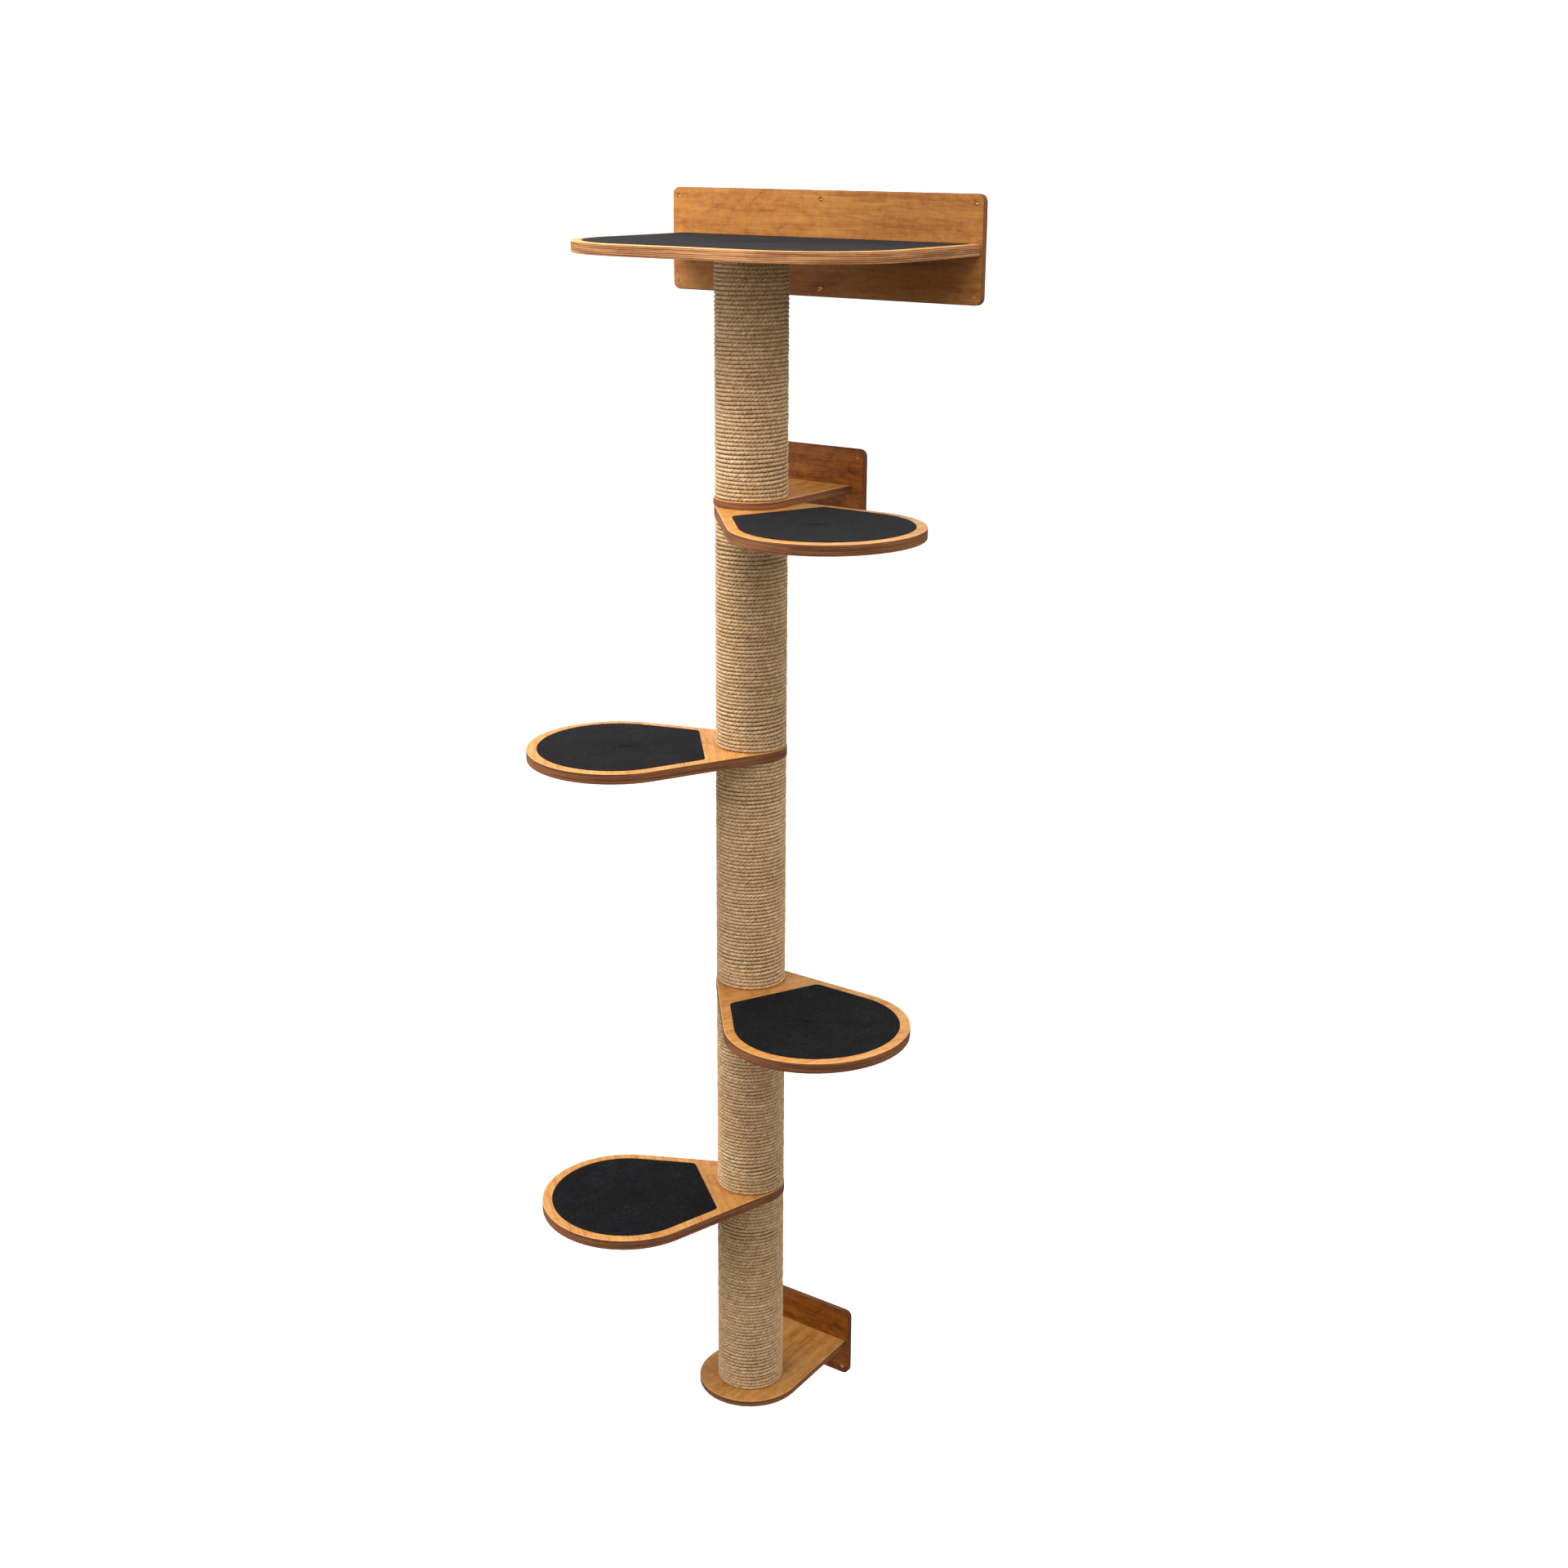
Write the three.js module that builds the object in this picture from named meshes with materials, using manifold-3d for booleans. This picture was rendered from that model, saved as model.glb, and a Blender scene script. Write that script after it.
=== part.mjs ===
// A wall-hung cat tree: a post of five rope-wound sections, carried by three wall brackets, with four
// teardrop steps that swing about the post and a carpeted shelf on top.
//
// Millimetres, +Z up. The wall is the plane y = 0, the tree stands in front of it (towards -Y), x = 0 is the
// post's axis, and z = 0 is the middle of the lowest wall plate.

import * as THREE from 'three';
import { mergeVertices } from 'three/addons/utils/BufferGeometryUtils.js';
import Module from 'manifold-3d';

const wasm = await Module();
wasm.setup();

// ---------------------------------------------------------------------------------- driving dimensions

const GAP = 0.3; // clearance between pieces that touch

// Plywood thicknesses
const BRACKET_PLY = 12; // wall plates, middle arm and base board
const BOARD_PLY = 18; // steps and shelf
const EDGE_ROUND = 1.5; // radius on the boards' edges

// Post
const POST_TO_PLATE = 190; // post axis to the front of the wall plates
const POST_Y = -(POST_TO_PLATE + BRACKET_PLY);
const ROPE_DIAMETER = 6.4;
const WOUND_RADIUS = 60; // outside of the rope winding
const TUBE_RADIUS = WOUND_RADIUS - ROPE_DIAMETER - GAP;
const TUBE_WALL = 5;
const PLUG_LENGTH = 30;
const SECTION_LENGTHS = [383, 378, 408, 388, 381]; // from the base up

// Threaded rods that clamp the sections together
const STUD_RADIUS = 5;
const STUD_CHAMFER = 1;
const STUD_BITE = 25; // length inside each plug
const SWING_CLEARANCE = 0.5; // between a step's hole and its stud

// Steps, from the lowest up: the direction that each points in, in degrees from +X
const STEP_DIRECTIONS = [231, -25, 221, -23];
const STEP_REACH = 228; // post axis to the middle of the step's head
const HEAD_HALF_LENGTH = 149; // the head is a slightly flattened round
const HEAD_HALF_WIDTH = 157;
const HUB_RADIUS = 61; // round the post
const RIM = 17.5; // bare wood round the carpet
const CARPET_START = 83; // post axis to the carpet's straight edge
const CARPET_CORNER = 9;

// Top shelf
const SHELF_HALF_WIDTH = 302;
const SHELF_HALF_DEPTH = POST_TO_PLATE;
const SHELF_CORNER = 170;
const SHELF_CARPET_BACK = 2; // from the carpet's back edge to the wall plate

// Carpets lie in shallow pockets and stand a little proud
const POCKET_DEPTH = 2.5;
const CARPET_PROUD = 1;

// Wall plates: half width and half height
const TOP_PLATE = [306.5, 84.8];
const SMALL_PLATE = [92.5, 67];
const PLATE_CORNER = 12;

// Bracket boards: radius of the nose round the post, and half width at the wall plate
const MIDDLE_ARM = [62, 65];
const BASE_BOARD = [94, 86];

// Screws: shank radius, head radius and length
const BRACKET_SCREW = { shank: 2, head: 4.2, length: 45, sunk: 0.3 };
const WALL_SCREW = { shank: 2.2, head: 4.2, length: 28, sunk: 0.4 };
const WALL_SCREW_INSET = 13.5; // from the plate's edges
const SHELF_SCREWS_X = [-225, -75, 75, 225];
const ARM_SCREWS_X = [-40, 40];
const BASE_SCREWS_X = [-50, 50];

// Bolts at the two ends of the post
const HEX_ACROSS_FLATS = 16;
const HEX_HEIGHT = 6;
const FLANGE = { radius: 11, height: 2 };
const COUNTERSUNK_HEAD_RADIUS = 10;

// Segments round curves. The tube and the plugs have half the winding's, so that they stay clear inside it.
const ROUND_WINDING = 32;
const ROUND_TUBE = ROUND_WINDING / 2;
const ROUND_STUD = 12;
const ROUND_SCREW = 8;
const EDGE_STEPS = 2;
const HEAD_STEPS = 34;
const HUB_STEPS = 10;
const CARPET_CORNER_STEPS = 3;
const SHELF_CORNER_STEPS = 12;
const NOSE_STEPS = 10;
const PLATE_CORNER_STEPS = 4;

// ------------------------------------------------------------------------------------------- materials

const LOOKS = {
  plywood: { color: 0xc27a3e, roughness: 0.5, metalness: 0 },
  rope: { color: 0xb5986c, roughness: 0.95, metalness: 0 },
  carpet: { color: 0x1c1c20, roughness: 1, metalness: 0 },
  cardboard: { color: 0x9a7a55, roughness: 0.9, metalness: 0 },
  plug: { color: 0xd9c09a, roughness: 0.7, metalness: 0 },
  steel: { color: 0xb8bcc0, roughness: 0.35, metalness: 1 },
  bronze: { color: 0x6b5233, roughness: 0.45, metalness: 1 },
};

const tree = new THREE.Group();

function addPiece(parent, name, geometry, look) {
  const mesh = new THREE.Mesh(geometry, new THREE.MeshStandardMaterial(LOOKS[look]));
  mesh.name = name;
  parent.add(mesh);
  return mesh;
}

// ------------------------------------------------------------------------------------ solids and cutting

function toSolid(geometry) {
  const bare = geometry.clone();
  bare.deleteAttribute('normal');
  bare.deleteAttribute('uv');
  const merged = mergeVertices(bare, 1e-4);
  const corners = merged.index.array;
  const triangles = [];
  for (let i = 0; i < corners.length; i += 3) {
    const [a, b, c] = [corners[i], corners[i + 1], corners[i + 2]];
    if (a !== b && b !== c && c !== a) triangles.push(a, b, c); // none where a turned profile meets the axis
  }
  return new wasm.Manifold(new wasm.Mesh({
    numProp: 3,
    vertProperties: new Float32Array(merged.attributes.position.array),
    triVerts: new Uint32Array(triangles),
  }));
}

function toGeometry(solid) {
  const { vertProperties, triVerts } = solid.getMesh();
  const geometry = new THREE.BufferGeometry();
  geometry.setAttribute('position', new THREE.BufferAttribute(vertProperties, 3));
  geometry.setIndex(new THREE.BufferAttribute(triVerts, 1));
  const flat = geometry.toNonIndexed();
  flat.computeVertexNormals();
  return flat;
}

function cutFrom(geometry, cutters) {
  const solid = cutters.reduce((left, cutter) => left.subtract(toSolid(cutter)), toSolid(geometry));
  return toGeometry(solid);
}

// A turned piece about the Z axis, from [radius, height] pairs listed upwards along its outside
function turned(profile, segments) {
  const points = profile.map(([radius, height]) => new THREE.Vector2(radius, height));
  return new THREE.LatheGeometry(points, segments).rotateX(Math.PI / 2);
}

function ring(inner, outer, bottom, top, segments) {
  return turned([[inner, bottom], [outer, bottom], [outer, top], [inner, top], [inner, bottom]], segments);
}

function rod(radius, bottom, top, segments, chamfer = 0) {
  const low = chamfer ? [[radius - chamfer, bottom], [radius, bottom + chamfer]] : [[radius, bottom]];
  const high = chamfer ? [[radius, top - chamfer], [radius - chamfer, top]] : [[radius, top]];
  return turned([[0, bottom], ...low, ...high, [0, top]], segments);
}

// A board with rounded edges, from z = 0 to its thickness
function board(outline, thickness) {
  const shape = new THREE.Shape(outline);
  return new THREE.ExtrudeGeometry(shape, {
    depth: thickness - 2 * EDGE_ROUND,
    bevelThickness: EDGE_ROUND,
    bevelSize: EDGE_ROUND,
    bevelOffset: -EDGE_ROUND,
    bevelSegments: EDGE_STEPS,
  }).translate(0, 0, EDGE_ROUND);
}

// A straight-sided block with that outline
function prism(outline, bottom, top) {
  const upright = { depth: top - bottom, bevelEnabled: false };
  return new THREE.ExtrudeGeometry(new THREE.Shape(outline), upright).translate(0, 0, bottom);
}

// ------------------------------------------------------------------------------------------- outlines
// Every outline is a list of points, counter-clockwise from above.

function arc(x, y, radius, from, to, steps) {
  return Array.from({ length: steps + 1 }, (_, i) => {
    const angle = from + ((to - from) * i) / steps;
    return new THREE.Vector2(x + radius * Math.cos(angle), y + radius * Math.sin(angle));
  });
}

function mirrored(points) {
  return points.map(({ x, y }) => new THREE.Vector2(-x, y)).reverse();
}

// Direction of the outward normal of a step's straight sides, which touch both its head and its hub
function stepSideNormal() {
  const spread = STEP_REACH ** 2 - HEAD_HALF_LENGTH ** 2 + HEAD_HALF_WIDTH ** 2;
  const across = STEP_REACH * HUB_RADIUS;
  const root = Math.sqrt(across ** 2 + spread * (HEAD_HALF_WIDTH ** 2 - HUB_RADIUS ** 2));
  return Math.acos((across - root) / spread);
}

const SIDE_NORMAL = stepSideNormal();

// The head's part of a step's outline, moved inwards by inset, between its two straight sides
function stepHead(inset) {
  return Array.from({ length: HEAD_STEPS + 1 }, (_, i) => {
    const angle = SIDE_NORMAL * ((2 * i) / HEAD_STEPS - 1);
    const [along, across] = [Math.cos(angle), Math.sin(angle)];
    const support = Math.hypot(HEAD_HALF_LENGTH * along, HEAD_HALF_WIDTH * across);
    return new THREE.Vector2(
      STEP_REACH + along * (HEAD_HALF_LENGTH ** 2 / support - inset),
      across * (HEAD_HALF_WIDTH ** 2 / support - inset),
    );
  });
}

function stepOutline() {
  const hub = arc(0, 0, HUB_RADIUS, SIDE_NORMAL, 2 * Math.PI - SIDE_NORMAL, HUB_STEPS);
  return [...stepHead(0), ...hub];
}

// A step's carpet: the step's outline inside its rim, cut straight across in front of the post
function stepCarpetOutline(grow = 0) {
  const inset = RIM - grow;
  const corner = CARPET_CORNER + grow;
  const x = CARPET_START - grow + corner;
  const y = (HUB_RADIUS - inset - corner - Math.cos(SIDE_NORMAL) * x) / Math.sin(SIDE_NORMAL);
  return [
    ...stepHead(inset),
    ...arc(x, y, corner, SIDE_NORMAL, Math.PI, CARPET_CORNER_STEPS),
    ...arc(x, -y, corner, Math.PI, 2 * Math.PI - SIDE_NORMAL, CARPET_CORNER_STEPS),
  ];
}

// The shelf about the post's axis, with its front corners rounded and its back edge at the wall plate
function shelfOutline(inset, backInset) {
  const side = SHELF_HALF_WIDTH - inset;
  const back = SHELF_HALF_DEPTH - backInset;
  const middleX = SHELF_HALF_WIDTH - SHELF_CORNER;
  const middleY = SHELF_CORNER - SHELF_HALF_DEPTH;
  const corner = arc(middleX, middleY, SHELF_CORNER - inset, -Math.PI / 2, 0, SHELF_CORNER_STEPS);
  const right = [...corner, new THREE.Vector2(side, back)];
  return [...right, ...mirrored(right)];
}

// A bracket board about the post's axis: a round nose, and sides that run to the wall plate
function bracketOutline([nose, wallHalfWidth]) {
  const back = POST_TO_PLATE - GAP;
  const distance = Math.hypot(wallHalfWidth, back);
  const side = Math.atan2(back, wallHalfWidth) - Math.acos(nose / distance);
  const right = [...arc(0, 0, nose, -Math.PI / 2, side, NOSE_STEPS), new THREE.Vector2(wallHalfWidth, back)];
  return [...right, ...mirrored(right).slice(0, -1)];
}

function plateOutline([halfWidth, halfHeight]) {
  const [x, y] = [halfWidth - PLATE_CORNER, halfHeight - PLATE_CORNER];
  const quarter = Math.PI / 2;
  const centres = [[x, -y], [x, y], [-x, y], [-x, -y]];
  return centres.flatMap(([cx, cy], i) => (
    arc(cx, cy, PLATE_CORNER, (i - 1) * quarter, i * quarter, PLATE_CORNER_STEPS)
  ));
}

// ------------------------------------------------------------------------------------------- fasteners

// A countersunk screw that points down, with the top of its head at z = 0
function screw({ shank, head, length }) {
  const point = 2 * shank;
  return turned([
    [0, -length], [shank, point - length], [shank, shank - head], [head, 0], [0, 0],
  ], ROUND_SCREW);
}

// The hole that such a screw needs, with its own clearance
function screwHole({ shank, head, sunk }, depth) {
  const radius = shank + GAP;
  const mouth = head + GAP;
  const rest = -sunk - GAP;
  return turned([
    [0, -depth], [radius, -depth], [radius, rest - head + shank], [mouth, rest], [mouth, 1], [0, 1],
  ], ROUND_SCREW);
}

// The holes for a bracket's screws in the back edge of its board, at half the board's thickness
function edgeHoles(xs, thickness) {
  const { shank, length } = BRACKET_SCREW;
  const depth = length - BRACKET_PLY + 2;
  return xs.map((x) => rod(shank + GAP, -depth, 1, ROUND_SCREW)
    .rotateX(-Math.PI / 2)
    .translate(x, POST_TO_PLATE - GAP, thickness / 2));
}

function flangeBolt(length) {
  const shankAndFlange = turned([
    [0, -FLANGE.height], [FLANGE.radius, -FLANGE.height], [FLANGE.radius, 0], [STUD_RADIUS, 0],
    [STUD_RADIUS, length - STUD_CHAMFER], [STUD_RADIUS - STUD_CHAMFER, length], [0, length],
  ], ROUND_STUD);
  const overlap = 0.5;
  const hex = new THREE.CylinderGeometry(
    HEX_ACROSS_FLATS / Math.sqrt(3), HEX_ACROSS_FLATS / Math.sqrt(3), HEX_HEIGHT + overlap, 6,
  ).rotateX(Math.PI / 2).translate(0, 0, -FLANGE.height - (HEX_HEIGHT - overlap) / 2);
  return toGeometry(toSolid(shankAndFlange).add(toSolid(hex)));
}

// A countersunk bolt that points down, with the top of its head at z = 0
function countersunkBolt(length) {
  const neck = STUD_RADIUS - COUNTERSUNK_HEAD_RADIUS;
  return turned([
    [0, -length], [STUD_RADIUS - STUD_CHAMFER, -length], [STUD_RADIUS, STUD_CHAMFER - length],
    [STUD_RADIUS, neck], [COUNTERSUNK_HEAD_RADIUS, 0], [0, 0],
  ], ROUND_STUD);
}

function countersunkHole(depth) {
  const radius = STUD_RADIUS + GAP;
  const mouth = COUNTERSUNK_HEAD_RADIUS + GAP;
  return turned([
    [0, -depth], [radius, -depth], [radius, radius - mouth], [mouth, 0], [mouth, 1], [0, 1],
  ], ROUND_STUD);
}

// ------------------------------------------------------------------------------------------- brackets

// A wall plate with its screws and its board's screws, which lie at the plate's middle height. Inside the
// group, +Z points out of the wall.
function addWallPlate(name, height, halfSizes, wallScrews, boardScrewsX) {
  const plateGroup = new THREE.Group();
  plateGroup.rotation.x = Math.PI / 2;
  plateGroup.position.z = height;
  tree.add(plateGroup);

  const through = BRACKET_PLY + 1;
  const wallHoles = wallScrews.map(([x, y]) => screwHole(WALL_SCREW, through).translate(x, y, BRACKET_PLY));
  const boardHoles = boardScrewsX.map((x) => (
    screwHole(BRACKET_SCREW, through).rotateX(Math.PI).translate(x, 0, 0)
  ));
  const plate = cutFrom(board(plateOutline(halfSizes), BRACKET_PLY), [...wallHoles, ...boardHoles]);
  addPiece(plateGroup, `${name}_wall_plate`, plate, 'plywood');

  wallScrews.forEach(([x, y], i) => {
    const piece = addPiece(plateGroup, `${name}_wall_screw_${i + 1}`, screw(WALL_SCREW), 'bronze');
    piece.position.set(x, y, BRACKET_PLY - WALL_SCREW.sunk);
  });
  boardScrewsX.forEach((x, i) => {
    const piece = addPiece(plateGroup, `${name}_bracket_screw_${i + 1}`, screw(BRACKET_SCREW), 'steel');
    piece.rotation.x = Math.PI;
    piece.position.set(x, 0, BRACKET_SCREW.sunk);
  });
}

// A board that rests on top of, or hangs under, a post section, about the post's axis
function addPostBoard(name, geometry, bottom) {
  const piece = addPiece(tree, name, geometry, 'plywood');
  piece.position.set(0, POST_Y, bottom);
  return piece;
}

function studHole(radius, thickness) {
  return rod(radius, -1, thickness + 1, ROUND_STUD);
}

// ------------------------------------------------------------------------------------------- the post

function addSection(number, bottom, length) {
  const section = new THREE.Group();
  section.position.set(0, POST_Y, bottom);
  tree.add(section);
  const name = `post_${number}`;
  const top = length - GAP;
  const tubeInside = TUBE_RADIUS - TUBE_WALL;
  const bore = STUD_RADIUS + GAP;

  const rope = ring(WOUND_RADIUS - ROPE_DIAMETER, WOUND_RADIUS, GAP, top, ROUND_WINDING);
  const tube = ring(tubeInside, TUBE_RADIUS, GAP, top, ROUND_TUBE);
  const plug = ring(bore, tubeInside - GAP, 0, PLUG_LENGTH, ROUND_TUBE);
  addPiece(section, `${name}_rope`, rope, 'rope');
  addPiece(section, `${name}_tube`, tube, 'cardboard');
  addPiece(section, `${name}_lower_plug`, plug, 'plug').position.z = GAP;
  addPiece(section, `${name}_upper_plug`, plug.clone(), 'plug').position.z = top - PLUG_LENGTH;
}

function addStud(name, bottom, top) {
  const stud = rod(STUD_RADIUS, 0, top - bottom + 2 * STUD_BITE, ROUND_STUD, STUD_CHAMFER);
  addPiece(tree, name, stud, 'steel').position.set(0, POST_Y, bottom - STUD_BITE);
}

// ------------------------------------------------------------------------------------- steps and shelf

function carpet(outline) {
  return prism(outline, 0, POCKET_DEPTH + CARPET_PROUD - GAP);
}

function addStep(number, bottom, direction) {
  const step = new THREE.Group();
  step.position.set(0, POST_Y, bottom);
  step.rotation.z = THREE.MathUtils.degToRad(direction);
  tree.add(step);

  const floor = BOARD_PLY - POCKET_DEPTH;
  const body = cutFrom(board(stepOutline(), BOARD_PLY), [
    prism(stepCarpetOutline(GAP), floor, BOARD_PLY + 1),
    studHole(STUD_RADIUS + SWING_CLEARANCE, BOARD_PLY),
  ]);
  addPiece(step, `step_${number}_board`, body, 'plywood');
  addPiece(step, `step_${number}_carpet`, carpet(stepCarpetOutline()), 'carpet').position.z = floor + GAP;
}

function addShelf(bottom) {
  const floor = BOARD_PLY - POCKET_DEPTH;
  const body = cutFrom(board(shelfOutline(0, GAP), BOARD_PLY), [
    prism(shelfOutline(RIM - GAP, SHELF_CARPET_BACK - GAP), floor, BOARD_PLY + 1),
    countersunkHole(BOARD_PLY + 1).translate(0, 0, floor),
    ...edgeHoles(SHELF_SCREWS_X, BOARD_PLY),
  ]);
  addPostBoard('top_shelf', body, bottom);
  const cover = addPiece(tree, 'top_shelf_carpet', carpet(shelfOutline(RIM, SHELF_CARPET_BACK)), 'carpet');
  cover.position.set(0, POST_Y, bottom + floor + GAP);
  const bolt = addPiece(tree, 'shelf_bolt', countersunkBolt(floor + STUD_BITE), 'steel');
  bolt.position.set(0, POST_Y, bottom + floor - GAP);
}

// ------------------------------------------------------------------------------------------- assembly

// Base bracket: its board is at the plate's middle height
const baseBoard = cutFrom(board(bracketOutline(BASE_BOARD), BRACKET_PLY), [
  studHole(STUD_RADIUS + GAP, BRACKET_PLY),
  ...edgeHoles(BASE_SCREWS_X, BRACKET_PLY),
]);
addPostBoard('base_board', baseBoard, -BRACKET_PLY / 2);
const baseBolt = addPiece(tree, 'base_bolt', flangeBolt(BRACKET_PLY + GAP + STUD_BITE), 'steel');
baseBolt.position.set(0, POST_Y, -BRACKET_PLY / 2 - GAP);

let level = BRACKET_PLY / 2; // top of what the next section stands on
let armBottom = 0;
SECTION_LENGTHS.forEach((length, i) => {
  addSection(i + 1, level, length);
  level += length;
  const direction = STEP_DIRECTIONS[i];
  if (direction === undefined) return;
  const stepBottom = level;
  addStep(i + 1, stepBottom, direction);
  level += BOARD_PLY;
  if (i === STEP_DIRECTIONS.length - 1) {
    armBottom = level + GAP; // the middle arm lies on the highest step
    level = armBottom + BRACKET_PLY;
  }
  addStud(`stud_${i + 1}`, stepBottom, level);
});

// Middle bracket
const middleArm = cutFrom(board(bracketOutline(MIDDLE_ARM), BRACKET_PLY), [
  studHole(STUD_RADIUS + GAP, BRACKET_PLY),
  ...edgeHoles(ARM_SCREWS_X, BRACKET_PLY),
]);
addPostBoard('middle_arm', middleArm, armBottom);

addShelf(level);

// Wall plates
const [topX, topY] = TOP_PLATE.map((half) => half - WALL_SCREW_INSET);
const [smallX, smallY] = SMALL_PLATE.map((half) => half - WALL_SCREW_INSET);
const topScrews = [[-topX, topY], [0, topY], [topX, topY], [-topX, -topY], [0, -topY], [topX, -topY]];
addWallPlate('top', level + BOARD_PLY / 2, TOP_PLATE, topScrews, SHELF_SCREWS_X);
const middleScrews = [[-smallX, smallY], [smallX, smallY]];
addWallPlate('middle', armBottom + BRACKET_PLY / 2, SMALL_PLATE, middleScrews, ARM_SCREWS_X);
const baseScrews = [[-smallX, -smallY], [smallX, -smallY]];
addWallPlate('base', 0, SMALL_PLATE, baseScrews, BASE_SCREWS_X);

export default tree;
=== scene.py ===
"""The looks of a wall-hung cat tree: rope-wound post, stained plywood boards, inlaid carpets and screws.

Metres, in the frame of the CAD model: the wall is y = 0, the tree stands towards -Y, and +Z is up.
"""
import math

import bpy
import numpy as np
from mathutils import Matrix, Vector


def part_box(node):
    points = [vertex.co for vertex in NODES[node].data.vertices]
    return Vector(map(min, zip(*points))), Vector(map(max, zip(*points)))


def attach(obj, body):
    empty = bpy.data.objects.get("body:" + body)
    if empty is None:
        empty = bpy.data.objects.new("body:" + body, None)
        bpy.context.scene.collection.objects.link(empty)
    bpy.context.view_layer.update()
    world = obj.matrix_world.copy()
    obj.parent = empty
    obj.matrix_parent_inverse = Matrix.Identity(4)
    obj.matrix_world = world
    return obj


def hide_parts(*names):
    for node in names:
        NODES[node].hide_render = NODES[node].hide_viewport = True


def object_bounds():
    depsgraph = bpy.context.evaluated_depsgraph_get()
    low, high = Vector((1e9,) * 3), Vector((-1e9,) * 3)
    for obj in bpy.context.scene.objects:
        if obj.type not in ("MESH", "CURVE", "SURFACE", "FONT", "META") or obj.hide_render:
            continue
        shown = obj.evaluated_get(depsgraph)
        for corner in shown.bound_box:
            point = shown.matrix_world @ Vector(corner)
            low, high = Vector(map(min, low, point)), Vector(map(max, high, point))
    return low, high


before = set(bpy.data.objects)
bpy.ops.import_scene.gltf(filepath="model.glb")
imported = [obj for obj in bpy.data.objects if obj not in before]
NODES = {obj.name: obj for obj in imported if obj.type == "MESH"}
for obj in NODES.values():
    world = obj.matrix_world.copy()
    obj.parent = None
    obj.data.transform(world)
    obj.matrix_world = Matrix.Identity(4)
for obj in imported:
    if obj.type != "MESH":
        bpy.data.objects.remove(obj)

cad_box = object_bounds()
MM = 0.001
SEED = 7

# ---------------------------------------------------------------------------------------- driving values

# Camera, in front of the wall, to the right and a little above the shelf. Angles are in degrees, and the
# pitch is downwards.
CAMERA_PLACE = (1.9486, -2.8609, 2.2040)
CAMERA_YAW = 35.266
CAMERA_PITCH = 17.612
CAMERA_ROLL = 0.361
CAMERA_LENS = 46.80  # mm, on a sensor 36 mm wide
SENSOR_WIDTH = 36.0

FLOOR_BELOW = 0.30  # from the base plate down to the floor
FLOOR_HALF = 60.0
FLOOR_COLOUR = (0.82, 0.82, 0.82, 1.0)
FLOOR_ROUGHNESS = 0.9
FLOOR_GLOW = 0.35  # keeps the floor pale where the lamps do not reach

# Light. A direction is an azimuth and an elevation in degrees. Azimuth 0 is straight in front of the wall and
# 90 is on its right.
STUDIO_LIGHT = 1.9  # at the horizon, where the studio's pale walls are
STUDIO_SHARES = [  # height, from 0 straight down to 1 straight up, and the share of the light from there
    (0.0, 0.04), (0.45, 0.04), (0.47, 1.0), (0.53, 1.0), (0.55, 0.72), (0.75, 0.72), (0.80, 0.1),
]
HIGH_SUN = {"azimuth": -15, "elevation": 60, "strength": 1.5, "spread": 30}
WALL_BOUNCE = {"azimuth": 140, "elevation": 30, "strength": 0.5, "spread": 40}
TOP_AIM = (0.0, -0.2, 1.6)
LOW_AIM = (0.0, -0.2, 1.0)
SOFTBOXES = {
    "top_left": {"place": (-1.0, -0.7, 3.2), "aim": TOP_AIM, "watts": 57.0},
    "top_right": {"place": (0.9, -1.2, 3.3), "aim": TOP_AIM, "watts": 29.0},
    "low_left": {"place": (-1.9, -1.9, 1.2), "aim": LOW_AIM, "watts": 19.5},
}
SOFTBOX_SIZE = 1.0
WHITE = (1.0, 1.0, 1.0, 1.0)

# Post
SECTIONS = 5
ROPE_RADIUS = 3.2 * MM
ROPE_HALF_HEIGHT = 3.3 * MM  # the turns press against each other
STRANDS = 3
STRAND_LAY = 20.5 * MM  # along the rope, for one whole turn of its strands
STRAND_GROOVE = 0.26  # depth of the grooves between strands, as a share of the rope's radius
POINTS_PER_STRAND = 4
RINGS_PER_LAY = 8
FIRST_CLIMB = 0.2  # share of the first turn in which the rope climbs onto the next one
CLIMB_GROWTH = 1.15  # from each turn to the next
CLIMB_SOFTENED = 0.04  # share of a turn over which the climb starts and stops
CALM_END = 6 * ROPE_RADIUS  # the turns lie evenly this near to a board
FIRST_RING = 0.55  # thickness of the rope's cut end, as a share of the rope's own
END_GROWTH = 0.25  # the same, from each ring to the next

# How uneven the winding is: how many waves there are, and the shortest and longest height of one
HEIGHT_WAVES = {"count": 5, "low": 0.03, "high": 0.09}
HEIGHT_UNEVEN = 0.35 * MM
OUT_WAVES = {"count": 5, "low": 0.015, "high": 0.06}
OUT_UNEVEN = 0.22 * MM
THICKNESS_WAVES = {"count": 4, "low": 0.01, "high": 0.03}
THICKNESS_UNEVEN = 0.04  # as a share of the rope's radius
MOST_WAVES_ROUND = 5
FIBRE_UNEVEN = 0.015  # from point to point, as a share of the rope's radius

# Steps
STEPS = 4
GRAIN_ACROSS = 90.0  # the steps' face grain runs across them
FAR_END = 0.99  # of a step's longest reach from the post: points past this are its far end

# Brackets
GRAIN_START = 0.3  # X of the point that the shelf's, arm's and base board's grain is counted from

# Carpet
CARPET_STEP = 3.0 * MM
CARPET_SOFTENED = 2  # points on each side that round a corner of the outline
CARPET_ROUND = 1.2 * MM
CARPET_ROUND_STEPS = 4
PILE_UNEVEN = 0.18 * MM

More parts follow.
